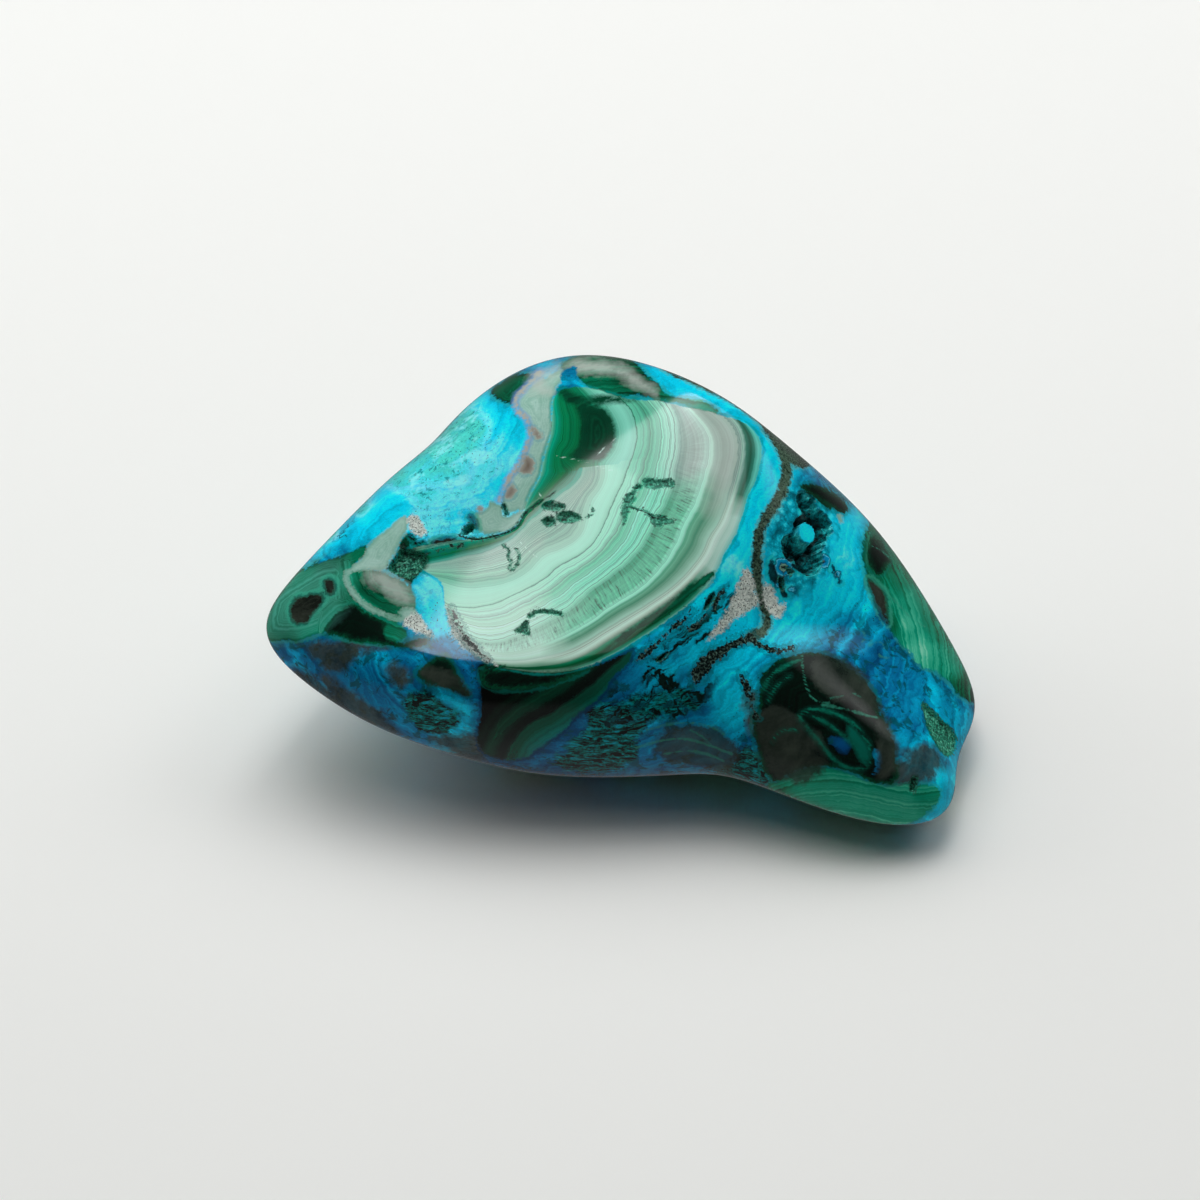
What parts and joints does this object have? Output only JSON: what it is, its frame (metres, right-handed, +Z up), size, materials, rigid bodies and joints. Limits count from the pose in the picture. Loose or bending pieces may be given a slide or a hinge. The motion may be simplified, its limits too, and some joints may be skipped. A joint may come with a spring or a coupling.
{
  "type": "polished mineral specimen",
  "caption": "Polished chrysocolla and malachite freeform: a rounded wedge with a banded main face, an open vug and a flat sawn base.",
  "frame": {"origin": "centre of the bounding box in plan, on the sawn resting face", "axes": "+Z up from the resting face; X along the stone's length, from the pointed nose (-X) to the blunt toe (+X); the banded main face looks up and towards -Y"},
  "size_m": [0.0928, 0.0621, 0.0409],
  "materials": {
    "stone": "polished"
  },
  "bodies": {
    "root": {"stone": "stone"}
  },
  "joints": []
}
